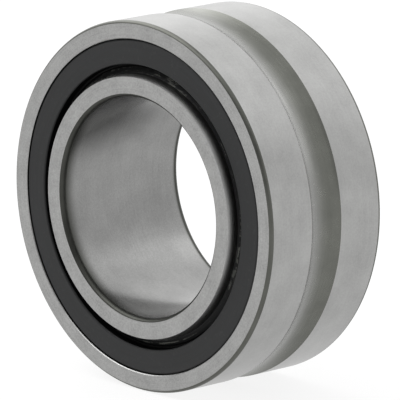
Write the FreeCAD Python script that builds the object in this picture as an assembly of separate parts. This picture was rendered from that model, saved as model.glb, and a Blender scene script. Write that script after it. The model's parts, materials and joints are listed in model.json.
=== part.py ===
import FreeCAD, Part

import math
import os

# A sealed needle roller bearing with an inner ring, in millimetres.
# The axis runs along +Y through the origin, which is the bearing's centre.
# The front face looks towards -Y, +Z is up, and the bearing stands on its outside diameter.
# Every ring is the same at the front and at the back.

# Driving dimensions: the standard boundary sizes and the needles.
BORE = 25.0
OUTSIDE_DIAMETER = 42.0
OUTER_WIDTH = 17.0
INNER_WIDTH = 18.0
INNER_RACEWAY_DIAMETER = 30.0
NEEDLE_DIAMETER = 3.5
NEEDLE_LENGTH = 9.8
NEEDLE_COUNT = 22
RUNNING_GAP = 0.025                # between a needle and each raceway

# Needles
NEEDLE_CORNER = 0.35               # radius that takes the edge off each end
PITCH_RADIUS = INNER_RACEWAY_DIAMETER / 2 + RUNNING_GAP + NEEDLE_DIAMETER / 2

# Outer ring
OUTER_RADIUS = OUTSIDE_DIAMETER / 2
OUTER_CORNER = (0.305, 0.46)       # radial and axial size of the rounded corner
OUTER_CORNER_BULGE = 0.08
OUTER_RACEWAY_RADIUS = PITCH_RADIUS + NEEDLE_DIAMETER / 2 + RUNNING_GAP
RIB_GAP = 0.1                      # end play of the needles at each rib
RIB_BORE_RADIUS = 17.3
RIB_EDGE = 0.15
RACEWAY_RELIEF = (0.2, 0.35)       # depth and width of the grinding relief beside each rib
SEAL_SEAT_RADIUS = 18.96
SEAL_SEAT_DEPTH = 2.3
SEAL_SEAT_EDGE = 0.08
GROOVE_WIDTH = 4.5
GROOVE_DEPTH = 0.5
GREASE_HOLE_DIAMETER = 2.0

# Inner ring
INNER_BORE_CORNER = (0.38, 0.68)
INNER_BORE_BULGE = 0.12
INNER_LEAD_IN = (0.22, 0.8)        # radial and axial size of the slope that opens the seal lip
INNER_LEAD_IN_BULGE = 0.03

# Cage
CAGE_INNER_RADIUS = 15.45
CAGE_OUTER_RADIUS = 17.2
CAGE_WIDTH = 12.0
CAGE_EDGE = 0.15
POCKET_GAP = 0.1                   # around each needle, in its pocket

# Seal: depths are measured inwards from the outer ring's side face.
SEAL_FACE_DEPTH = 0.1
SEAL_RIM_RADIUS = 18.68            # where the flat face rounds off towards the seat
SEAL_RIM_DEPTH = 0.45
SEAL_RIM_BULGE = 0.06
SEAL_INNER_RADIUS = 16.09          # the inner edge of the flat face
SEAL_INNER_ROUND = 0.2
CHANNEL_DEPTH = 1.1                # the channel between the flat face and the lip
CHANNEL_WIDTH = 0.38
CHANNEL_HOLLOW = 0.11
LIP_GAP = 0.03                     # between the lip and the inner ring
LIP_DEPTH = 0.8
LIP_LAND = 0.1
LIP_ROOT_THICKNESS = 0.42
NECK_THICKNESS = 0.6               # of the rubber where the lip meets the body
SEAL_BACK_RADIUS = 16.15

# Steel stiffener: an L section set in the back of the seal
STIFFENER_THICKNESS = 0.4
STIFFENER_INNER_RADIUS = 16.45
STIFFENER_OUTER_RADIUS = 18.66
STIFFENER_HEIGHT = 1.4

QUARTER_ROUND = 1 - math.sqrt(0.5)  # how proud of its chord a quarter circle of radius 1 stands
ORIGIN = FreeCAD.Vector(0, 0, 0)
AXIS = FreeCAD.Vector(0, 1, 0)


def arc(start, end, bulge):
    """The middle and the end of an arc that stands bulge proud of the straight way from start to end.

    Outlines run clockwise, so proud is to the left. A negative bulge is a hollow.
    """
    chord = (end[0] - start[0], end[1] - start[1])
    length = math.hypot(*chord)
    middle = (
        (start[0] + end[0]) / 2 - chord[1] / length * bulge,
        (start[1] + end[1]) / 2 + chord[0] / length * bulge,
    )
    return [middle, end]


def turned(outline):
    """A solid turned about the axis from an outline of (radius, y) points.

    A plain point ends a straight line. A list of two points is an arc's middle and end.
    The outline closes with a straight line, from its last plain point to its first.
    """
    edges = []
    here = FreeCAD.Vector(*outline[-1], 0)
    for step in outline:
        if isinstance(step, list):
            middle, end = [FreeCAD.Vector(*point, 0) for point in step]
            edges.append(Part.Arc(here, middle, end).toShape())
        else:
            end = FreeCAD.Vector(*step, 0)
            edges.append(Part.makeLine(here, end))
        here = end
    return Part.Face(Part.Wire(edges)).revolve(ORIGIN, AXIS, 360)


def both_sides(front_half):
    """The front half and its mirror image as one solid."""
    whole = front_half.fuse(front_half.mirror(ORIGIN, AXIS))
    return whole.removeSplitter().Solids[0]


def outer_ring():
    """The housing-side ring, with its raceway, two ribs, two seal seats and the grease groove."""
    face = -OUTER_WIDTH / 2
    seat = face + SEAL_SEAT_DEPTH
    rib = -(NEEDLE_LENGTH / 2 + RIB_GAP)
    relief_depth, relief_width = RACEWAY_RELIEF
    corner_start = (OUTER_RADIUS, face + OUTER_CORNER[1])
    corner_end = (OUTER_RADIUS - OUTER_CORNER[0], face)
    half_groove = GROOVE_WIDTH / 2
    groove_radius = (half_groove**2 + GROOVE_DEPTH**2) / (2 * GROOVE_DEPTH)
    groove_centre = OUTER_RADIUS - GROOVE_DEPTH + groove_radius
    half_turn = math.asin(half_groove / groove_radius) / 2
    groove_middle = (
        groove_centre - groove_radius * math.cos(half_turn),
        -groove_radius * math.sin(half_turn),
    )
    front_half = turned([
        (OUTER_RADIUS - GROOVE_DEPTH, 0),
        [groove_middle, (OUTER_RADIUS, -half_groove)],
        corner_start,
        arc(corner_start, corner_end, OUTER_CORNER_BULGE),
        (SEAL_SEAT_RADIUS + SEAL_SEAT_EDGE, face),
        (SEAL_SEAT_RADIUS, face + SEAL_SEAT_EDGE),
        (SEAL_SEAT_RADIUS, seat),
        (RIB_BORE_RADIUS + RIB_EDGE, seat),
        (RIB_BORE_RADIUS, seat + RIB_EDGE),
        (RIB_BORE_RADIUS, rib - RIB_EDGE),
        (RIB_BORE_RADIUS + RIB_EDGE, rib),
        (OUTER_RACEWAY_RADIUS + relief_depth, rib),
        (OUTER_RACEWAY_RADIUS + relief_depth, rib + relief_width),
        (OUTER_RACEWAY_RADIUS, rib + relief_width + relief_depth),
        (OUTER_RACEWAY_RADIUS, 0),
    ])
    grease_hole = Part.makeCylinder(
        GREASE_HOLE_DIAMETER / 2,
        OUTER_RADIUS - RIB_BORE_RADIUS,
        FreeCAD.Vector(-RIB_BORE_RADIUS, 0, 0),
        FreeCAD.Vector(-1, 0, 0),
    )
    return both_sides(front_half).cut(grease_hole).Solids[0]


def inner_ring():
    """The shaft-side ring. It is wider than the outer ring, and its outside is the inner raceway."""
    face = -INNER_WIDTH / 2
    raceway = INNER_RACEWAY_DIAMETER / 2
    lead_in_start = (raceway, face + INNER_LEAD_IN[1])
    lead_in_end = (raceway - INNER_LEAD_IN[0], face)
    corner_start = (BORE / 2 + INNER_BORE_CORNER[0], face)
    corner_end = (BORE / 2, face + INNER_BORE_CORNER[1])
    front_half = turned([
        (raceway, 0),
        lead_in_start,
        arc(lead_in_start, lead_in_end, INNER_LEAD_IN_BULGE),
        corner_start,
        arc(corner_start, corner_end, INNER_BORE_BULGE),
        (BORE / 2, 0),
    ])
    return both_sides(front_half)


def needle_places():
    """The centre of each needle, evenly spaced on the pitch circle from the top, clockwise."""
    for number in range(NEEDLE_COUNT):
        angle = 2 * math.pi * number / NEEDLE_COUNT
        yield FreeCAD.Vector(math.sin(angle), 0, math.cos(angle)) * PITCH_RADIUS


def needle():
    """One needle about the origin: a plain roller with flat ends and rounded corners."""
    radius = NEEDLE_DIAMETER / 2
    end = -NEEDLE_LENGTH / 2
    corner_start = (radius, end + NEEDLE_CORNER)
    corner_end = (radius - NEEDLE_CORNER, end)
    quarter_bulge = NEEDLE_CORNER * QUARTER_ROUND
    return both_sides(turned([
        (radius, 0),
        corner_start,
        arc(corner_start, corner_end, quarter_bulge),
        (0, end),
        (0, 0),
    ]))


def cage():
    """The one-piece window cage. Its bars are narrower outside, so the needles can't fall inwards."""
    end = -CAGE_WIDTH / 2
    body = both_sides(turned([
        (CAGE_OUTER_RADIUS, 0),
        (CAGE_OUTER_RADIUS, end + CAGE_EDGE),
        (CAGE_OUTER_RADIUS - CAGE_EDGE, end),
        (CAGE_INNER_RADIUS + CAGE_EDGE, end),
        (CAGE_INNER_RADIUS, end + CAGE_EDGE),
        (CAGE_INNER_RADIUS, 0),
    ]))
    length = NEEDLE_LENGTH + 2 * POCKET_GAP
    pockets = [
        Part.makeCylinder(
            NEEDLE_DIAMETER / 2 + POCKET_GAP, length, centre - AXIS * (length / 2), AXIS
        )
        for centre in needle_places()
    ]
    return body.cut(pockets).Solids[0]


def front_stiffener():
    """The front seal's pressed steel ring: a flat washer with its outer edge turned forwards."""
    face = -OUTER_WIDTH / 2
    back = face + SEAL_SEAT_DEPTH
    web = back - STIFFENER_THICKNESS
    return turned([
        (STIFFENER_OUTER_RADIUS, back),
        (STIFFENER_OUTER_RADIUS, back - STIFFENER_HEIGHT),
        (STIFFENER_OUTER_RADIUS - STIFFENER_THICKNESS, back - STIFFENER_HEIGHT),
        (STIFFENER_OUTER_RADIUS - STIFFENER_THICKNESS, web),
        (STIFFENER_INNER_RADIUS, web),
        (STIFFENER_INNER_RADIUS, back),
    ])


def front_seal():
    """The front seal's rubber: a flat face, a channel, and a lip that leans out to the inner ring."""
    face = -OUTER_WIDTH / 2
    back = face + SEAL_SEAT_DEPTH
    flat = face + SEAL_FACE_DEPTH
    channel = face + CHANNEL_DEPTH
    lip_tip = (INNER_RACEWAY_DIAMETER / 2 + LIP_GAP, face + LIP_DEPTH)
    lip_root = (SEAL_INNER_RADIUS - CHANNEL_WIDTH, channel)
    rim_start = (SEAL_SEAT_RADIUS, face + SEAL_RIM_DEPTH)
    rim_end = (SEAL_RIM_RADIUS, flat)
    inner_start = (SEAL_INNER_RADIUS + SEAL_INNER_ROUND, flat)
    inner_end = (SEAL_INNER_RADIUS, flat + SEAL_INNER_ROUND)
    rubber = turned([
        (SEAL_SEAT_RADIUS, back),
        rim_start,
        arc(rim_start, rim_end, SEAL_RIM_BULGE),
        inner_start,
        arc(inner_start, inner_end, SEAL_INNER_ROUND * QUARTER_ROUND),
        (SEAL_INNER_RADIUS, channel),
        arc((SEAL_INNER_RADIUS, channel), lip_root, -CHANNEL_HOLLOW),
        (lip_tip[0], lip_tip[1] - LIP_LAND),
        lip_tip,
        (lip_root[0], channel + LIP_ROOT_THICKNESS),
        (SEAL_BACK_RADIUS, channel + NECK_THICKNESS),
        (SEAL_BACK_RADIUS, back),
    ])
    return rubber.cut(front_stiffener()).Solids[0]


def write(node, shape):
    """Write one piece to its STEP file, and print what it measures."""
    shape.exportStep(f"parts/{node}.step")
    box = shape.optimalBoundingBox(False, False)
    print(
        f"{node}: {len(shape.Solids)} solid, valid {shape.isValid()}, {shape.Volume:.1f} mm3, "
        f"{box.XLength:.2f} x {box.YLength:.2f} x {box.ZLength:.2f}"
    )


def main():
    os.makedirs("parts", exist_ok=True)
    write("outer_ring", outer_ring())
    write("inner_ring", inner_ring())
    write("cage", cage())
    for piece, front in (("seal", front_seal()), ("seal_stiffener", front_stiffener())):
        write(f"{piece}_front", front)
        write(f"{piece}_back", front.mirror(ORIGIN, AXIS))
    for number, centre in enumerate(needle_places(), 1):
        one_needle = needle()
        one_needle.translate(centre)
        write(f"needle_{number:02d}", one_needle)


main()
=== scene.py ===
# %% [markdown]
# # A sealed needle roller bearing
#
# The object is a machined needle roller bearing with an inner ring. A thick outer ring carries a grease
# groove round its middle. Inside it run a steel cage, twenty-two needles and a ground inner ring, and a
# black rubber lip seal closes each side.
#
# The CAD model already holds every size, so the first step loads it. What Blender adds is the surface:
# finely turned meshes where the eye can see an edge, and a procedural finish for each piece, because a
# bearing is almost nothing but turned and ground surfaces.

# %% Load the frame
import json
import math

import bmesh
import bpy
from mathutils import Matrix, Vector


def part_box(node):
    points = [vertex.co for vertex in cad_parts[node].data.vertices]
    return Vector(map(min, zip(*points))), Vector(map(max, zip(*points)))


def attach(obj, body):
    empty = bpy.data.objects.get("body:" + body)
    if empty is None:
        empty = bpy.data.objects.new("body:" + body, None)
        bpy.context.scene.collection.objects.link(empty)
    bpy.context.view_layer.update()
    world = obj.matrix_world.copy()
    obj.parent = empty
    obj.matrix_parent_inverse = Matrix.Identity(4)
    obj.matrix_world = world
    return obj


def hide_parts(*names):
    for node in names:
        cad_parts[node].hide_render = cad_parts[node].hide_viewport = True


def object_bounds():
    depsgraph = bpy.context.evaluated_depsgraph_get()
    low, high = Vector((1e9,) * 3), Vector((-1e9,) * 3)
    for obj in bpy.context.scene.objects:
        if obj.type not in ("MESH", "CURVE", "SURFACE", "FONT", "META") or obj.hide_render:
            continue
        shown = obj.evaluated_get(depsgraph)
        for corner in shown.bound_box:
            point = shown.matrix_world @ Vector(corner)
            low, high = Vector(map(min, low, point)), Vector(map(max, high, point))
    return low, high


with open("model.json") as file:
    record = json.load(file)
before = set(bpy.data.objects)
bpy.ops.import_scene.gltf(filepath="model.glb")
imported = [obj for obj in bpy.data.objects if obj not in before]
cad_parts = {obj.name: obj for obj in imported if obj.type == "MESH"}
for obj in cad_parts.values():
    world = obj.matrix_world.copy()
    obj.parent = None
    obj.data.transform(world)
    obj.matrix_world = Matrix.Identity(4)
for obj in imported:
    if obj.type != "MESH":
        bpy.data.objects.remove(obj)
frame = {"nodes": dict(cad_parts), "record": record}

cad_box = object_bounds()
scene = bpy.context.scene
record = frame["record"]

# %% [markdown]
# ## Sizes
#
# A turned part is drawn as a half section in millimetres, so the radii and the side faces are read here
# from the boxes of the CAD nodes. The small sizes that a box can't tell, such as a rounded corner, are
# named next to the piece that has them.

# %% Radii and side faces in millimetres
MM = 0.001


def millimetres(metres):
    """A length in millimetres, to the hundredth that a bearing drawing gives."""
    return round(metres / MM, 2)


def outside_radius(node):
    """The outside radius of a turned node, from the top of its box."""
    return millimetres(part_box(node)[1][2])


def front_of(node):
    """How far along the axis the front of a node lies. The front looks towards -Y, so this is negative."""
    return millimetres(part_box(node)[0][1])


def back_of(node):
    """How far along the axis the back of a node lies."""
    return millimetres(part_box(node)[1][1])


mounts = {mount["name"]: mount for mount in record["mounts"]}
bore_radius = mounts["bore"]["dims"]["r_mm"]
outer_radius = outside_radius("outer_ring")
outer_face = front_of("outer_ring")
raceway_radius = outside_radius("inner_ring")
inner_face = front_of("inner_ring")
seat_radius = outside_radius("seal_front")
seal_flat = front_of("seal_front")
seal_back = back_of("seal_front")
print("outer ring", outer_radius, outer_face, "inner ring", raceway_radius, inner_face, "bore", bore_radius)
print("seal", seat_radius, seal_flat, seal_back)

# %% [markdown]
# ## The camera
#
# The bearing is seen from its front right, a little from above, and from far away through a long lens, so
# that its round edges are nearly perfect ellipses. A long lens is what a catalogue uses: a short one would
# make the front face look much larger than the back. The camera is placed by an azimuth, an elevation and a
# distance, because those three can be changed one at a time.

# %% Camera
AZIMUTH = math.radians(46.753)
ELEVATION = math.radians(12.603)
DISTANCE = 0.67186
LENS = 538.9
AIM_RIGHT, AIM_DOWN = 0.478 * MM, 0.423 * MM
NEAR, FAR = 0.01, 10

towards_camera = Vector((
    math.sin(AZIMUTH) * math.cos(ELEVATION),
    -math.cos(AZIMUTH) * math.cos(ELEVATION),
    math.sin(ELEVATION),
))
view_right = Vector((0, 0, 1)).cross(towards_camera).normalized()
view_up = towards_camera.cross(view_right)
aim = view_right * AIM_RIGHT - view_up * AIM_DOWN

camera = bpy.data.objects.new("camera", bpy.data.cameras.new("camera"))
camera.data.lens = LENS
camera.data.clip_start = NEAR
camera.data.clip_end = FAR
camera.matrix_world = Matrix.Translation(aim + towards_camera * DISTANCE) @ Matrix(
    (view_right, view_up, towards_camera)
).transposed().to_4x4()
scene.collection.objects.link(camera)
scene.camera = camera
print("camera at", [round(value, 3) for value in camera.matrix_world.translation])

# %% [markdown]
# ## A small kit for finishes
#
# A finish is a tree of shader nodes. It could be wired by hand, one link at a time, but then the sum that
# it works out is hard to read. `Wire` wraps one output of a node and overloads the arithmetic signs, so
# that `0.3 + 0.1 * grain` adds the Math nodes by itself. The reflected forms, such as `__rsub__`, are what
# Python calls when the number stands first, as in `1 - mask`.

# %% Wire: a socket that can be used in arithmetic
class Wire:
    """One output of a node in a tree."""

    def __init__(self, tree, socket):
        self.tree = tree
        self.socket = socket

    def maths(self, operation, first, second):
        return self.tree.node("ShaderNodeMath", {"operation": operation}, {0: first, 1: second})

    def __add__(self, other):
        return self.maths("ADD", self, other)

    def __radd__(self, other):
        return self.maths("ADD", other, self)

    def __sub__(self, other):
        return self.maths("SUBTRACT", self, other)

    def __rsub__(self, other):
        return self.maths("SUBTRACT", other, self)

    def __mul__(self, other):
        return self.maths("MULTIPLY", self, other)

    def __rmul__(self, other):
        return self.maths("MULTIPLY", other, self)

    def __pow__(self, other):
        return self.maths("POWER", self, other)


# %% [markdown]
# `Tree` adds any other node with one method. It sets the node's own settings first, because some settings
# change which sockets a node has, and then it fills the sockets with values or wires. On top of it come the
# few things that every finish needs: coordinates, noise, and a mask that fades softly between two values.

# %% Tree: one method adds any node
class Tree:
    """The node tree of a material or of the world."""

    def __init__(self, owner):
        owner.use_nodes = True
        self.nodes = owner.node_tree.nodes
        self.links = owner.node_tree.links

    def node(self, kind, settings=None, inputs=None, output=0):
        """Adds a node and returns the wire of one of its outputs."""
        node = self.nodes.new(kind)
        for name, value in (settings or {}).items():
            setattr(node, name, value)
        for name, value in (inputs or {}).items():
            self.feed(node.inputs[name], value)
        return Wire(self, node.outputs[output])

    def feed(self, socket, value):
        """Fills a socket with a wire, or sets it to a value."""
        if isinstance(value, Wire):
            self.links.new(value.socket, socket)
        else:
            socket.default_value = value

    def coordinates(self):
        """The object's own coordinates, in its own units."""
        return self.node("ShaderNodeTexCoord", output="Object")

    def noise(self, place, per_mm, detail=2.0, roughness=0.5):
        """Noise between about 0.25 and 0.75, with so many grains in a millimetre of the place."""
        return self.node("ShaderNodeTexNoise", inputs={
            "Vector": place, "Scale": per_mm, "Detail": detail, "Roughness": roughness,
        })

    def fade(self, value, start, end):
        """0 below start, 1 above end, with a soft S between them. Start may be the larger one."""
        return self.node("ShaderNodeMapRange", {"interpolation_type": "SMOOTHSTEP"}, {
            "Value": value, "From Min": start, "From Max": end,
        })

    def blend(self, mask, first, second):
        """A colour that goes from first to second as the mask goes from 0 to 1."""
        return self.node("ShaderNodeMix", {"data_type": "RGBA"}, {0: mask, 6: first, 7: second}, output=2)

    def apart(self, vector):
        """The three parts of a vector, as three wires."""
        return [self.node("ShaderNodeSeparateXYZ", inputs={0: vector}, output=part) for part in range(3)]

    def place(self, x, y, z):
        """Three values or wires as one vector."""
        return self.node("ShaderNodeCombineXYZ", inputs={"X": x, "Y": y, "Z": z})


# %% [markdown]
# Every finish on a turned part follows its axis, so `Finish` works out where a point of the surface is in
# turner's terms: how far along the axis, how far out from it, and a plain position for specks. The object's
# own coordinates are used, so the pattern stays on the metal when the ring turns.

# %% Finish: a material in turner's coordinates
ROUND_THE_RING = 0.12
LINE_ROUGHNESS = 0.6
MIDDLE = 0.5


def grey(level, tint=(1.0, 1.0, 1.0)):
    """A colour of one grey level, with a slight tint."""
    return (level * tint[0], level * tint[1], level * tint[2], 1.0)


class Finish(Tree):
    """A material, its main shader, and coordinates in millimetres round the axis."""

    def __init__(self, name):
        self.material = bpy.data.materials.new(name)
        super().__init__(self.material)
        self.shader = self.nodes["Principled BSDF"]
        scale = {0: self.coordinates(), "Scale": 1 / MM}
        self.position = self.node("ShaderNodeVectorMath", {"operation": "SCALE"}, scale)
        self.x, self.along, self.z = self.apart(self.position)
        self.out = (self.x * self.x + self.z * self.z) ** 0.5

    def rings_round_axis(self, per_mm, detail=3.0):
        """Fine lines that run round a cylinder, as grinding or turning leaves them."""
        return self.lines(self.along * per_mm, detail)

    def rings_on_face(self, per_mm, detail=3.0):
        """Fine lines that run round a flat side face."""
        return self.lines(self.out * per_mm, detail)

    def lines(self, across, detail):
        """Noise that is quick across the lines and slow along them."""
        stretched = self.place(self.x * ROUND_THE_RING, across, self.z * ROUND_THE_RING)
        return self.noise(stretched, per_mm=1.0, detail=detail, roughness=LINE_ROUGHNESS)

    def grain(self, *parts):
        """Noises mixed by weight into one value round the middle. Each part is (weight, noise)."""
        level = MIDDLE
        for weight, noise in parts:
            level = level + weight * (noise - MIDDLE)
        return level

    def bump(self, height, depth):
        """A normal that follows a height between 0 and 1, whose full depth is given in millimetres."""
        return self.node("ShaderNodeBump", inputs={
            "Height": height, "Distance": depth * MM, "Strength": 1.0,
        })

    def surface(self, **sockets):
        """Fills the main shader's sockets. An underscore in a name stands for a space."""
        for name, value in sockets.items():
            self.feed(self.shader.inputs[name.replace("_", " ")], value)
        return self.material


# %% [markdown]
# ## Ground steel
#
# The side faces, the outside and the bore of a bearing are ground after hardening. Grinding leaves lines
# too fine to see one by one, and what the eye sees is a silky grey that is mottled where the wheel cut a
# little deeper. A flat metal of one roughness looks like plastic next to it, so the colour, the roughness
# and a very shallow bump all follow the same grain. The depth of the bump is thousandths of a millimetre,
# as on the real thing.

# %% Ground side faces
STEEL_TINT = (1.0, 1.0, 0.985)


def ground_face():
    """The flat side faces of both rings."""
    steel = Finish("steel_ground_face")
    lines = steel.rings_on_face(per_mm=9.0)
    specks = steel.noise(steel.position, per_mm=5.5, detail=3.0, roughness=0.7)
    mottle = steel.noise(steel.position, per_mm=0.45)
    level = steel.grain((1.7, specks), (0.7, lines), (0.7, mottle))
    return steel.surface(
        Metallic=1.0,
        Base_Color=steel.blend(level, grey(0.25, STEEL_TINT), grey(0.43, STEEL_TINT)),
        Roughness=0.30 + 0.12 * specks + 0.06 * mottle,
        Normal=steel.bump(0.6 * specks + 0.4 * lines, 0.004),
    )


steel_face = ground_face()
print("made", steel_face.name)

# %% [markdown]
# The bore and the lands get lines that run round the axis. The bore is painted darker near its front and
# its back, as painted shade: a wide band at the front and a thin one at the back. It could be a strip with a
# finish of its own, but a strip has an edge, and a fade along the axis has none.

# %% Ground cylinders
OLIVE_TINT = (1.0, 1.02, 0.92)
MOUTH_SHADE = 0.3


def ground_cylinder(name, dark, light, base_roughness, depth, shaded_mouths=None):
    """A cylinder ground round its axis: the outside lands, the raceway and the bore.

    Painted shade near the front and the back of the bore: where along the axis it darkens, each as a pair
    (darkest here, full brightness here).
    """
    steel = Finish(name)
    fine = steel.rings_round_axis(per_mm=11.0)
    coarse = steel.rings_round_axis(per_mm=2.2)
    specks = steel.noise(steel.position, per_mm=4.5, detail=3.0, roughness=0.65)
    mottle = steel.noise(steel.position, per_mm=0.3)
    level = steel.grain((0.5, fine), (0.2, coarse), (1.0, specks), (1.0, mottle))
    colour = steel.blend(level, grey(dark, STEEL_TINT), grey(light, STEEL_TINT))
    # Painted shade: the bore darkens towards its front and its back.
    if shaded_mouths:
        front, back = shaded_mouths
        mouth_shade_mask = steel.fade(steel.along, *front) * steel.fade(steel.along, *back)
        colour = steel.blend(mouth_shade_mask, grey(MOUTH_SHADE * dark, OLIVE_TINT), colour)
    return steel.surface(
        Metallic=1.0,
        Base_Color=colour,
        Roughness=base_roughness + 0.10 * fine + 0.05 * mottle,
        Normal=steel.bump(0.5 * fine + 0.5 * specks, depth),
    )


steel_land = ground_cylinder("steel_ground_land", dark=0.28, light=0.40, base_roughness=0.24, depth=0.003)
# The bore's steel is painted darker than the lands, as painted shade inside the bore.
steel_bore = ground_cylinder(
    "steel_ground_bore",
    dark=0.20, light=0.30, base_roughness=0.13, depth=0.0015, shaded_mouths=((-8.6, -6.8), (8.5, 8.0)),
)
print("made", steel_land.name, steel_bore.name)

# %% [markdown]
# ## Hardened steel that was never ground
#
# The rounded corners and the grease groove are turned before the ring is hardened, and nobody grinds them
# afterwards. The heat leaves a thin dark oxide with an olive cast, and the turning marks stay coarse. It is
# the contrast between these dark strips and the bright lands that makes the ring look machined. In the
# groove the front flank is painted lighter than the back flank, as painted light.

# %% Oxide-dark corners and groove
LIT_FLANK_DARK, LIT_FLANK_LIGHT = 0.26, 0.38


def hardened_skin(name, dark, light, base_roughness, marks_per_mm, lit_flank=None):
    """Turned and hardened steel with its oxide left on.

    Lit_flank is where along the axis the flank is painted lighter, as painted light: (full oxide from here,
    lightest here).
    """
    steel = Finish(name)
    marks = steel.rings_round_axis(marks_per_mm)
    stain = steel.noise(steel.position, per_mm=0.35, detail=4.0, roughness=0.6)
    specks = steel.noise(steel.position, per_mm=6.0, detail=3.0, roughness=0.7)
    level = steel.grain((0.9, stain), (0.6, marks), (0.5, specks))
    colour = steel.blend(level, grey(dark, OLIVE_TINT), grey(light, OLIVE_TINT))
    # Painted light: the front flank of the groove is painted lighter than the back one.
    if lit_flank:
        lit_flank_mask = steel.fade(steel.along, *lit_flank)
        lit_flank_colour = steel.blend(level, grey(LIT_FLANK_DARK, STEEL_TINT), grey(LIT_FLANK_LIGHT, STEEL_TINT))
        colour = steel.blend(lit_flank_mask, colour, lit_flank_colour)
    return steel.surface(
        Metallic=1.0,
        Base_Color=colour,
        Roughness=base_roughness + 0.14 * stain + 0.06 * specks,
        Normal=steel.bump(0.7 * marks + 0.3 * specks, 0.008),
    )


steel_corner = hardened_skin(
    "steel_hardened_corner", dark=0.075, light=0.14, base_roughness=0.34, marks_per_mm=5.0
)
# The bore's corner is a darker copy of the corner finish: its oxide, and painted shade at the bore's mouth.
steel_bore_corner = hardened_skin(
    "steel_hardened_bore_corner", dark=0.035, light=0.085, base_roughness=0.34, marks_per_mm=5.0
)
steel_groove = hardened_skin(
    "steel_hardened_groove",
    dark=0.10, light=0.17, base_roughness=0.16, marks_per_mm=3.5, lit_flank=(1.0, -3.4),
)
print("made", steel_corner.name, steel_bore_corner.name, steel_groove.name)

# %% [markdown]
# ## Nitrile rubber
#
# The seals are moulded from black rubber, and the mould gives them a satin skin. It is not quite black, and
# it has faint flow marks round the ring and a fine dust of lighter specks. Rubber is no metal, so its
# colour is very dark and its gloss comes from the surface layer alone. The channel and the lip are painted
# darker and duller than the flat face, as painted shade in the recess, and broken streaks of grease run
# round the lip, so one function makes the same rubber three times.

# %% Seal rubber
RUBBER_TINT = (0.96, 1.0, 1.03)


def moulded_rubber(name, light, gloss, streak=None):
    """Black nitrile rubber with a satin skin.

    Gloss is how much its surface layer reflects. Streak is the grey of the grease streaks, if it has any.
    """
    rubber = Finish(name)
    flow = rubber.rings_on_face(per_mm=2.5)
    specks = rubber.noise(rubber.position, per_mm=7.0, detail=3.0, roughness=0.7)
    dust = rubber.fade(rubber.noise(rubber.position, per_mm=2.2, detail=3.0, roughness=0.7), 0.56, 0.75)
    colour = rubber.blend(flow, grey(0.4 * light, RUBBER_TINT), grey(light, RUBBER_TINT))
    colour = rubber.blend(0.35 * dust, colour, grey(3 * light))
    if streak:
        patches = rubber.noise(rubber.position, per_mm=1.3, detail=3.0, roughness=0.6)
        broken = rubber.fade(patches, 0.44, 0.56)
        streaks = rubber.fade(rubber.rings_round_axis(per_mm=7.0) + 0.5 * specks, 0.76, 0.90) * broken
        colour = rubber.blend(streaks, colour, grey(streak, OLIVE_TINT))
    return rubber.surface(
        Base_Color=colour,
        Roughness=0.40 + 0.16 * specks + 0.10 * dust,
        Specular_IOR_Level=gloss,
        Normal=rubber.bump(0.5 * specks + 0.5 * flow, 0.006),
    )


# The recess and the lip are darker copies of the flat rubber, as painted shade in the channel.
rubber = moulded_rubber("rubber_moulded", light=0.020, gloss=0.31)
rubber_recess_shaded = moulded_rubber("rubber_recess_shaded", light=0.004, gloss=0.05)
rubber_lip_shaded = moulded_rubber("rubber_lip_shaded", light=0.010, gloss=0.14, streak=0.12)
print("made", rubber.name, rubber_recess_shaded.name, rubber_lip_shaded.name)

# %% [markdown]
# ## The steel inside
#
# The needles are superfinished until they shine. The cage is drawn steel with a grey phosphate skin that
# holds oil, and the stiffeners in the seals are pressed from bright sheet, with the rolling lines of the
# sheet still on them. They are hidden in the closed bearing, and they get their real finishes all the same,
# because the pieces come apart.

# %% Needles, cage and stiffeners
def superfinished_needle():
    """A needle: very smooth, with the faintest lines round it."""
    steel = Finish("steel_superfinished")
    lines = steel.rings_round_axis(per_mm=14.0)
    cloud = steel.noise(steel.position, per_mm=0.8)
    return steel.surface(
        Metallic=1.0,
        Base_Color=steel.blend(cloud, grey(0.52, STEEL_TINT), grey(0.62, STEEL_TINT)),
        Roughness=0.08 + 0.08 * lines,
        Normal=steel.bump(lines, 0.0006),
    )


def phosphated_cage():
    """The cage: matt grey crystals over steel."""
    steel = Finish("steel_phosphated")
    crystals = steel.noise(steel.position, per_mm=9.0, detail=4.0, roughness=0.75)
    cloud = steel.noise(steel.position, per_mm=0.5, detail=3.0)
    return steel.surface(
        Metallic=0.85,
        Base_Color=steel.blend(0.6 * crystals + 0.4 * cloud, grey(0.14, OLIVE_TINT), grey(0.34, OLIVE_TINT)),
        Roughness=0.48 + 0.20 * crystals,
        Normal=steel.bump(crystals, 0.006),
    )


def pressed_sheet():
    """The stiffeners: cold rolled sheet, whose rolling lines all run one way."""
    steel = Finish("steel_pressed_sheet")
    one_way = steel.place(steel.x * 0.3, steel.along, steel.z * 8.0)
    rolling = steel.noise(one_way, per_mm=1.0, detail=3.0, roughness=LINE_ROUGHNESS)
    cloud = steel.noise(steel.position, per_mm=0.4)
    return steel.surface(
        Metallic=1.0,
        Base_Color=steel.blend(0.6 * rolling + 0.4 * cloud, grey(0.38), grey(0.54)),
        Roughness=0.26 + 0.14 * rolling,
        Normal=steel.bump(rolling, 0.003),
    )


needle_finish = superfinished_needle()
cage_finish = phosphated_cage()
stiffener_finish = pressed_sheet()
print("made", needle_finish.name, cage_finish.name, stiffener_finish.name)

# %% [markdown]
# ## Turning a mesh
#
# Every ring is a section swept round one axis. A Screw modifier could do that, but writing the loop keeps
# control of two things: which finish each stretch of the section gets, and how finely a round corner is
# divided. The section is drawn in millimetres with a few points, as a turner would dimension it, and a
# round stretch is given by how proud its middle stands.

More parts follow.
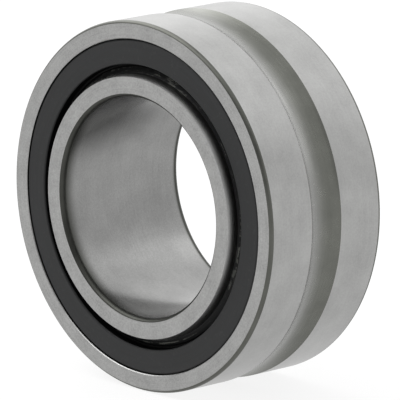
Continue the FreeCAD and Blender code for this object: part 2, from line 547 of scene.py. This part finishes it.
# %% Section: the half section of a turned piece
class Section:
    """Points (radius, y) in millimetres, with the finish of each stretch between them.

    The outline runs clockwise, with the material on its right.
    """

    def __init__(self, radius, y):
        self.points = [Vector((radius, y))]
        self.finishes = []

    def line(self, radius, y, finish):
        """A straight stretch to a point."""
        self.points.append(Vector((radius, y)))
        self.finishes.append(finish)

    def arc(self, radius, y, proud, finish, parts=8):
        """A round stretch to a point. Its middle stands proud of the straight way, or hollow if negative."""
        start, end = self.points[-1], Vector((radius, y))
        chord = end - start
        outwards = Vector((-chord.y, chord.x)).normalized()
        bend = (chord.length_squared / 4 + proud**2) / (2 * proud)
        half_turn = math.asin(chord.length / 2 / bend)
        for part in range(1, parts + 1):
            turn = half_turn * (2 * part / parts - 1)
            middle = (start + end) / 2 + chord.normalized() * bend * math.sin(turn)
            point = middle + outwards * (bend * math.cos(turn) - bend + proud)
            self.line(point.x, point.y, finish)

    def both_sides(self):
        """The section and its mirror image behind the middle, as one closed outline."""
        mirrored = [Vector((point.x, -point.y)) for point in reversed(self.points[1:-1])]
        self.points += mirrored
        self.finishes += self.finishes[::-1]
        return self

    def flipped(self):
        """The same section for the back of the bearing."""
        other = Section(self.points[0].x, -self.points[0].y)
        other.points = [Vector((point.x, -point.y)) for point in reversed(self.points)]
        other.finishes = self.finishes[-2::-1] + self.finishes[-1:]
        return other


# %% [markdown]
# `turned` sweeps a section. Flat faces beside small round corners need care: smooth shading alone bends the
# light on the flat next to the corner. Edges sharper than a set angle are marked sharp, and a Weighted
# Normal modifier lets the large faces decide the shading, so that flats look flat and corners look round.

# %% Sweep a section into a mesh
SHARP_ANGLE = math.radians(20)
WELD_DISTANCE = 1e-4 * MM
BY_FACE_AREA = 100


def made_from(mesh, name, materials):
    """An object in the scene from a finished bmesh."""
    data = bpy.data.meshes.new(name)
    mesh.to_mesh(data)
    mesh.free()
    for material in materials:
        data.materials.append(material)
    made = bpy.data.objects.new(name, data)
    scene.collection.objects.link(made)
    return made


def turned(name, section, finishes, steps):
    """An object swept from a section about the Y axis. Finishes are all the materials of its stretches."""
    mesh = bmesh.new()
    rims = []
    for step in range(steps):
        angle = 2 * math.pi * step / steps
        sine, cosine = math.sin(angle) * MM, math.cos(angle) * MM
        places = [(point.x * sine, point.y * MM, point.x * cosine) for point in section.points]
        rims.append([mesh.verts.new(place) for place in places])
    count = len(section.points)
    for rim, following in zip(rims, rims[1:] + rims[:1]):
        for place, finish in enumerate(section.finishes):
            after = (place + 1) % count
            if section.points[place].x or section.points[after].x:
                face = mesh.faces.new((rim[place], rim[after], following[after], following[place]))
                face.material_index = finishes.index(finish)
                face.smooth = True
    bmesh.ops.remove_doubles(mesh, verts=mesh.verts, dist=WELD_DISTANCE)
    bmesh.ops.recalc_face_normals(mesh, faces=mesh.faces)
    return made_from(mesh, name, finishes)


def soften_shading(piece):
    """Sharp where the surface turns quickly, and smooth with flat flats elsewhere."""
    piece.data.set_sharp_from_angle(angle=SHARP_ANGLE)
    weighted = piece.modifiers.new("flat flats", "WEIGHTED_NORMAL")
    weighted.keep_sharp = True
    weighted.weight = BY_FACE_AREA


def stands_for(piece, node, body):
    """Puts a piece in a CAD node's place, on its body."""
    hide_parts(node)
    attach(piece, body)
    print(piece.name, "faces:", len(piece.data.polygons))


# %% [markdown]
# ## The outer ring
#
# The outer ring is a thick hardened ring. Its outside is two ground lands with the grease groove between
# them, a shallow round hollow with crisp edges where the grinding wheel cut the lands down to it. Inside
# are the raceway between two ribs, and a seat for each seal. One clear hint of grinding is kept: the corner
# to the side face is a dark turned radius that the wheel never reached.

# %% Section of the outer ring
RING_STEPS = 256
OUTER_CORNER_OUT, OUTER_CORNER_ALONG, OUTER_CORNER_PROUD = 0.305, 0.46, 0.08
GROOVE_WIDTH, GROOVE_DEPTH = 4.5, 0.5
SEAT_DEPTH, SEAT_EDGE = 2.3, 0.08
RIB_BORE, RIB_EDGE = 17.3, 0.15
OUTER_RACEWAY = 18.55
RELIEF_DEPTH, RELIEF_WIDTH = 0.2, 0.35
RIB_GAP = 0.1
needle_end = front_of("needle_01")


def outer_ring_section():
    """The front half from the middle of the groove round to the middle of the raceway, then both sides."""
    half_groove = GROOVE_WIDTH / 2
    bend = (half_groove**2 + GROOVE_DEPTH**2) / (2 * GROOVE_DEPTH)
    half_turn = math.asin(half_groove / bend) / 2
    seat = outer_face + SEAT_DEPTH
    rib = needle_end - RIB_GAP
    relief = OUTER_RACEWAY + RELIEF_DEPTH
    ring = Section(outer_radius - GROOVE_DEPTH, 0)
    ring.arc(outer_radius, -half_groove, -bend * (1 - math.cos(half_turn)), steel_groove, parts=12)
    ring.line(outer_radius, outer_face + OUTER_CORNER_ALONG, steel_land)
    ring.arc(outer_radius - OUTER_CORNER_OUT, outer_face, OUTER_CORNER_PROUD, steel_corner)
    ring.line(seat_radius + SEAT_EDGE, outer_face, steel_face)
    ring.line(seat_radius, outer_face + SEAT_EDGE, steel_face)
    ring.line(seat_radius, seat, steel_corner)
    ring.line(RIB_BORE + RIB_EDGE, seat, steel_corner)
    ring.line(RIB_BORE, seat + RIB_EDGE, steel_corner)
    ring.line(RIB_BORE, rib - RIB_EDGE, steel_corner)
    ring.line(RIB_BORE + RIB_EDGE, rib, steel_corner)
    ring.line(relief, rib, steel_corner)
    ring.line(relief, rib + RELIEF_WIDTH, steel_corner)
    ring.line(OUTER_RACEWAY, rib + RELIEF_WIDTH + RELIEF_DEPTH, steel_corner)
    ring.line(OUTER_RACEWAY, 0, steel_land)
    return ring.both_sides()


outer_finishes = [steel_face, steel_land, steel_corner, steel_groove]
outer = turned("outer_ring_turned", outer_ring_section(), outer_finishes, RING_STEPS)
print("outer ring points:", len(outer.data.vertices))

# %% [markdown]
# The grease hole is drilled from the groove through to the raceway. It is cut here with a Boolean modifier
# and a drill that is itself turned, with a countersink where it meets the groove, so that the hole has the
# small bevel that a deburring tool leaves. The drill lies along the X axis, so it is turned about Y first
# and then rotated.

# %% Drill the grease hole
GREASE_HOLE_RADIUS = 1.0
COUNTERSINK = 0.25
DRILL_OVERRUN = 1
DRILL_STEPS = 64


def grease_drill():
    """A drill along -X that reaches from inside the ribs to outside the ring."""
    tip = RIB_BORE - DRILL_OVERRUN
    shank = outer_radius + DRILL_OVERRUN
    cone_start = outer_radius - GROOVE_DEPTH - COUNTERSINK / 2
    cone_height = 2 * COUNTERSINK
    drill = Section(0, tip)
    drill.line(GREASE_HOLE_RADIUS, tip, steel_corner)
    drill.line(GREASE_HOLE_RADIUS, cone_start, steel_corner)
    drill.line(GREASE_HOLE_RADIUS + cone_height, cone_start + cone_height, steel_corner)
    drill.line(GREASE_HOLE_RADIUS + cone_height, shank, steel_corner)
    drill.line(0, shank, steel_corner)
    cutter = turned("grease_drill", drill, outer_finishes, DRILL_STEPS)
    cutter.matrix_world = Matrix.Rotation(math.radians(90), 4, "Z")
    return cutter


def cut(piece, cutter):
    """Cuts one object out of another and throws the cutter away."""
    boolean = piece.modifiers.new("cut", "BOOLEAN")
    boolean.operation = "DIFFERENCE"
    boolean.solver = "EXACT"
    boolean.object = cutter
    bpy.context.view_layer.update()
    result = bpy.data.meshes.new_from_object(piece.evaluated_get(bpy.context.evaluated_depsgraph_get()))
    piece.modifiers.remove(boolean)
    piece.data = result
    bpy.data.objects.remove(cutter)


cut(outer, grease_drill())
soften_shading(outer)
stands_for(outer, "outer_ring", "root")

# %% [markdown]
# ## The inner ring
#
# The inner ring is one millimetre wider than the outer ring. Its outside is the inner raceway, its bore
# takes the shaft, and a rounded corner leads the shaft in. The gentle slope at each end of the outside
# opens the lip of the seal when the ring is pushed in.

# %% Turn the inner ring
BORE_CORNER_OUT, BORE_CORNER_ALONG, BORE_CORNER_PROUD = 0.38, 0.68, 0.12
LEAD_IN_OUT, LEAD_IN_ALONG, LEAD_IN_PROUD = 0.22, 0.8, 0.03


def inner_ring_section():
    """The front half from the middle of the raceway round to the middle of the bore, then both sides."""
    ring = Section(raceway_radius, 0)
    ring.line(raceway_radius, inner_face + LEAD_IN_ALONG, steel_land)
    ring.arc(raceway_radius - LEAD_IN_OUT, inner_face, LEAD_IN_PROUD, steel_land)
    ring.line(bore_radius + BORE_CORNER_OUT, inner_face, steel_face)
    ring.arc(bore_radius, inner_face + BORE_CORNER_ALONG, BORE_CORNER_PROUD, steel_bore_corner)
    ring.line(bore_radius, 0, steel_bore)
    return ring.both_sides()


inner_finishes = [steel_face, steel_land, steel_bore, steel_bore_corner]
inner = turned("inner_ring_turned", inner_ring_section(), inner_finishes, RING_STEPS)
soften_shading(inner)
stands_for(inner, "inner_ring", "inner_ring_body")

# %% [markdown]
# ## The seals
#
# Each seal is a rubber ring moulded round a steel stiffener. From outside it shows a flat face just below
# the ring's side face, a soft outer edge that leaves a thin dark gap at the seat, and a rounded inner edge.
# Behind that edge is a deep channel, and from the bottom of the channel a thin lip leans out to the inner
# ring. The lip is what keeps the grease in, so it is worth modelling as a real tapered lip.

# %% Section of the front seal
RIM_RADIUS, RIM_DEPTH, RIM_PROUD = 18.68, 0.45, 0.06
FLAT_INNER_RADIUS, FLAT_INNER_ROUND = 16.09, 0.2
CHANNEL_DEPTH, CHANNEL_WIDTH, CHANNEL_HOLLOW = 1.1, 0.38, 0.11
LIP_GAP, LIP_DEPTH, LIP_LAND, LIP_ROOT = 0.03, 0.8, 0.1, 0.42
NECK, RUBBER_INNER_RADIUS = 0.6, 16.15
SEAT_FIT = 0.01
QUARTER_ROUND = 1 - math.sqrt(0.5)  # how proud a quarter circle of radius 1 stands
STIFFENER_THICKNESS = 0.4
STIFFENER_HEIGHT = 1.4
STIFFENER_INNER_RADIUS = 16.45
stiffener_radius = outside_radius("seal_stiffener_front")


def seal_section():
    """The rubber of the front seal, from its back outer edge round the face, the channel and the lip."""
    channel = outer_face + CHANNEL_DEPTH
    lip_root = FLAT_INNER_RADIUS - CHANNEL_WIDTH
    lip_tip = raceway_radius + LIP_GAP
    fitted_radius = seat_radius - SEAT_FIT
    web = seal_back - STIFFENER_THICKNESS
    flange = stiffener_radius - STIFFENER_THICKNESS
    seal = Section(fitted_radius, seal_back)
    seal.line(fitted_radius, outer_face + RIM_DEPTH, rubber)
    seal.arc(RIM_RADIUS, seal_flat, RIM_PROUD, rubber)
    seal.line(FLAT_INNER_RADIUS + FLAT_INNER_ROUND, seal_flat, rubber)
    seal.arc(FLAT_INNER_RADIUS, seal_flat + FLAT_INNER_ROUND, FLAT_INNER_ROUND * QUARTER_ROUND, rubber)
    seal.line(FLAT_INNER_RADIUS, channel, rubber_recess_shaded)
    seal.arc(lip_root, channel, -CHANNEL_HOLLOW, rubber_recess_shaded)
    seal.line(lip_tip, outer_face + LIP_DEPTH - LIP_LAND, rubber_lip_shaded)
    seal.line(lip_tip, outer_face + LIP_DEPTH, rubber)
    seal.line(lip_root, channel + LIP_ROOT, rubber)
    seal.line(RUBBER_INNER_RADIUS, channel + NECK, rubber)
    seal.line(RUBBER_INNER_RADIUS, seal_back, rubber)
    seal.line(STIFFENER_INNER_RADIUS, seal_back, rubber)
    seal.line(STIFFENER_INNER_RADIUS, web, rubber)
    seal.line(flange, web, rubber)
    seal.line(flange, seal_back - STIFFENER_HEIGHT, rubber)
    seal.line(stiffener_radius, seal_back - STIFFENER_HEIGHT, rubber)
    seal.line(stiffener_radius, seal_back, rubber)
    seal.finishes.append(rubber)  # the stretch that closes the outline
    return seal


def stiffener_section():
    """The L-shaped stiffener of the front seal, with a rounded bend."""
    web = seal_back - STIFFENER_THICKNESS
    flange = stiffener_radius - STIFFENER_THICKNESS
    bend = STIFFENER_THICKNESS
    ring = Section(stiffener_radius, seal_back - bend)
    ring.line(stiffener_radius, seal_back - STIFFENER_HEIGHT, stiffener_finish)
    ring.line(flange, seal_back - STIFFENER_HEIGHT, stiffener_finish)
    ring.line(flange, web, stiffener_finish)
    ring.line(STIFFENER_INNER_RADIUS, web, stiffener_finish)
    ring.line(STIFFENER_INNER_RADIUS, seal_back, stiffener_finish)
    ring.line(stiffener_radius - bend, seal_back, stiffener_finish)
    ring.arc(stiffener_radius, seal_back - bend, bend * QUARTER_ROUND, stiffener_finish)
    ring.points.pop()  # the bend has come back to the first point
    return ring


# %% Turn both seals and their stiffeners
for side in ("front", "back"):
    for piece_name, section, finishes, slot_name in (
        ("seal", seal_section(), [rubber, rubber_recess_shaded, rubber_lip_shaded], "seal_rubber"),
        ("seal_stiffener", stiffener_section(), [stiffener_finish], "stiffener_steel"),
    ):
        if side == "back":
            section = section.flipped()
        turned_piece = turned(f"{piece_name}_{side}_turned", section, finishes, RING_STEPS)
        soften_shading(turned_piece)
        stands_for(turned_piece, f"{piece_name}_{side}", "root")

# %% [markdown]
# ## The needles and the cage
#
# Twenty-two needles lie side by side in the cage. Each is a plain roller whose ends have a small radius,
# and its outside drops away by a few thousandths near the ends, so that an edge never digs into the
# raceway. One mesh serves them all, and each copy sits where the CAD model has its needle.

# %% Turn the needles
NEEDLE_STEPS = 48
NEEDLE_CORNER = 0.35
CROWN_DROP, CROWN_LENGTH = 0.006, 1.6


def needle_section(radius):
    """The front half of a needle from its middle to the centre of its end, then both sides."""
    needle = Section(radius, 0)
    needle.line(radius, needle_end + CROWN_LENGTH, needle_finish)
    needle.line(radius - CROWN_DROP, needle_end + NEEDLE_CORNER, needle_finish)
    needle.arc(radius - NEEDLE_CORNER, needle_end, NEEDLE_CORNER * QUARTER_ROUND, needle_finish, parts=6)
    needle.line(0, needle_end, needle_finish)
    needle.line(0, 0, needle_finish)
    return needle.both_sides()


def middle_of(node):
    """The centre of a node's box at rest."""
    low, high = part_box(node)
    return (Vector(low) + Vector(high)) / 2


needle_low, needle_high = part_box("needle_01")
needle_radius = millimetres((needle_high[2] - needle_low[2]) / 2)
needle_nodes = sorted(name for name in frame["nodes"] if name.startswith("needle_"))
pattern = turned("needle_pattern", needle_section(needle_radius), [needle_finish], NEEDLE_STEPS)
for node_name in needle_nodes:
    roller = bpy.data.objects.new(f"{node_name}_turned", pattern.data)
    scene.collection.objects.link(roller)
    roller.location = middle_of(node_name)
    soften_shading(roller)
    stands_for(roller, node_name, f"{node_name}_body")
bpy.data.objects.remove(pattern)
print("needle radius", needle_radius, "needles", len(needle_nodes))

# %% [markdown]
# The cage keeps its CAD mesh, because its windows are true cylinder cuts that already have the right shape.
# It only gets its phosphated finish, by putting the material in the slots of the CAD object.

# %% Finish the cage
for cage_slot in frame["nodes"]["cage"].material_slots:
    cage_slot.material = cage_finish
print("cage slots:", len(frame["nodes"]["cage"].material_slots))

# %% [markdown]
# ## The floor
#
# The bearing stands on its outside diameter on a plain pale floor. For a catalogue it would stand on a
# light table, a sheet of opal acrylic with light under it, because that takes the hard shadow away and
# leaves only a soft one where the ring touches. So the floor is matt and also glows a little. It matters
# more than it seems to: the side faces and the lower half of the rings are mirrors for it, so its
# brightness is most of theirs.

# %% Floor
FLOOR_RADIUS = 1.6
FLOOR_STEPS = 96
FLOOR_GLOW = 0.86


def light_table():
    """A wide disc of opal acrylic under the bearing, very slightly uneven."""
    mesh = bmesh.new()
    bmesh.ops.create_circle(mesh, cap_ends=True, radius=FLOOR_RADIUS, segments=FLOOR_STEPS)
    acrylic = Finish("acrylic_opal")
    cloud = acrylic.noise(acrylic.position, per_mm=0.01)
    sheet = acrylic.surface(
        Base_Color=acrylic.blend(cloud, grey(0.13), grey(0.15)),
        Roughness=1.0,
        Specular_IOR_Level=0.0,
        Emission_Color=grey(1.0),
        Emission_Strength=FLOOR_GLOW,
    )
    table = made_from(mesh, "light_table", [sheet])
    table.location = (0, 0, cad_box[0][2])
    return table


floor = light_table()
print("floor at", round(floor.location.z, 4))

# %% [markdown]
# ## Two cards
#
# In a studio a reflection is steered with cards. The bore looks past the back of the bearing, so a grey
# card that lies on the table there, a painted shadow of the bearing on the table, gives its upper half
# depth, and a white card that hangs above the table puts a soft light on its lower half. Only reflections
# see the cards: the camera and the shadows don't. Their edges fade out, so that no line shows in the steel.

# %% Cards that only reflections see
CARD_STEPS = 48


def card(name, level, middle, reach, solid_part):
    """An oval card that glows at a level, lies flat at a place in millimetres and reaches so far each way.

    Solid part is how much of its radius is fully solid, before its edge fades out.
    """
    mesh = bmesh.new()
    bmesh.ops.create_circle(mesh, cap_ends=True, radius=1, segments=CARD_STEPS)
    material = bpy.data.materials.new(name)
    paper = Tree(material)
    length = {"operation": "LENGTH"}
    from_middle = paper.node("ShaderNodeVectorMath", length, {0: paper.coordinates()}, output="Value")
    edge = paper.fade(from_middle, solid_part, 1.0)
    glow = {"Color": grey(1.0), "Strength": level}
    shade = paper.node("ShaderNodeEmission", inputs=glow, output="Emission")
    clear = paper.node("ShaderNodeBsdfTransparent", output="BSDF")
    mixed = paper.node("ShaderNodeMixShader", inputs={0: edge, 1: shade, 2: clear})
    paper.feed(paper.nodes["Material Output"].inputs["Surface"], mixed)
    sheet = made_from(mesh, name, [material])
    sheet.location = Vector(middle) * MM
    sheet.scale = (reach[0] * MM, reach[1] * MM, 1)
    sheet.visible_camera = False
    sheet.visible_diffuse = False
    sheet.visible_shadow = False
    print(name, "at", [round(value, 3) for value in sheet.location])


table_height = millimetres(cad_box[0][2])
# The grey card is a painted shadow: it stands in for the bearing's own shadow on the table behind it.
card("grey_card_painted_shadow", level=0.18, middle=(-20, 19, table_height + 0.2), reach=(36, 15), solid_part=0.2)
card("white_card", level=2.1, middle=(4, 56, table_height + 55), reach=(22, 18), solid_part=0.35)

# %% [markdown]
# ## The light
#
# Metal shows its surroundings, so the light is designed as what the metal sees, not as lamps. A light tent
# surrounds the bearing. Its panels are soft and differ in brightness: the back is bright, because the
# outside of the ring looks there, and the front, where a camera has to stand, is dark. A tall panel leans
# over the bearing from the left towards the front. It lights the rounded corner and the back flank of the
# groove near the top, and it stops short of straight left and of low in front, where it would wash out the
# outside and the seal.
#
# Lamps could do this too, but each would show its own shape in the steel. The tent is painted in the world
# shader by direction instead, where every edge can be as soft as cloth. Each edge below is a pair: where a
# panel starts, and where it has its full brightness.

# %% Light tent
TENT_HORIZON = 1.05
TENT_SIDES = 1.0
TENT_FRONT, FRONT_EDGE = 0.30, (0.15, -0.45)
TENT_CEILING, CEILING_EDGE = 1.2, (0.74, 0.88)
HORIZON_EDGE = (0.04, 0.18)
BACK_PANEL, BACK_PANEL_FOOT = 0.45, 0.05
BACK_PANEL_RIGHT_EDGE, BACK_PANEL_NEAR_EDGE, FOOT_EDGE = (0.66, 0.30), (0.05, 0.40), (0.65, 0.20)
LEFT_PANEL = 3.5
LEFT_PANEL_LEAN, LEFT_PANEL_LEAN_EDGE = 0.7, (-0.05, -0.85)
LEFT_PANEL_LOWER_EDGE, LEFT_PANEL_LEFT_EDGE = (0.28, 0.50), (-0.98, -0.74)
LEFT_PANEL_RISE, LEFT_PANEL_FRONT_EDGE = 0.5, (0.25, 0.50)


def light_tent():
    """The world: a tent of soft panels, each added to the walls by the direction that it lies in."""
    world = bpy.data.worlds.new("light_tent")
    scene.world = world
    tent = Tree(world)
    direction = tent.node("ShaderNodeTexCoord", output="Generated")
    right, back, up = tent.apart(direction)

    back_panel = tent.fade(right, *BACK_PANEL_RIGHT_EDGE) * tent.fade(back, *BACK_PANEL_NEAR_EDGE)
    back_level = BACK_PANEL + BACK_PANEL_FOOT * tent.fade(up, *FOOT_EDGE)
    left_panel = tent.fade(right + LEFT_PANEL_LEAN * back, *LEFT_PANEL_LEAN_EDGE)
    left_panel = left_panel * tent.fade(up, *LEFT_PANEL_LOWER_EDGE) * tent.fade(right, *LEFT_PANEL_LEFT_EDGE)
    left_panel = left_panel * tent.fade(up + LEFT_PANEL_RISE * back, *LEFT_PANEL_FRONT_EDGE)

    walls = TENT_SIDES + (TENT_FRONT - TENT_SIDES) * tent.fade(back, *FRONT_EDGE)
    walls = walls + back_panel * back_level
    walls = walls + (TENT_CEILING - walls) * tent.fade(up, *CEILING_EDGE)
    walls = walls + LEFT_PANEL * left_panel
    level = TENT_HORIZON + (walls - TENT_HORIZON) * tent.fade(up, *HORIZON_EDGE)
    tent.feed(tent.nodes["Background"].inputs["Strength"], level)
    tent.feed(tent.nodes["Background"].inputs["Color"], grey(1.0))


light_tent()
scene.view_settings.view_transform = "Standard"
print("light tent walls", TENT_SIDES, "front", TENT_FRONT, "ceiling", TENT_CEILING)
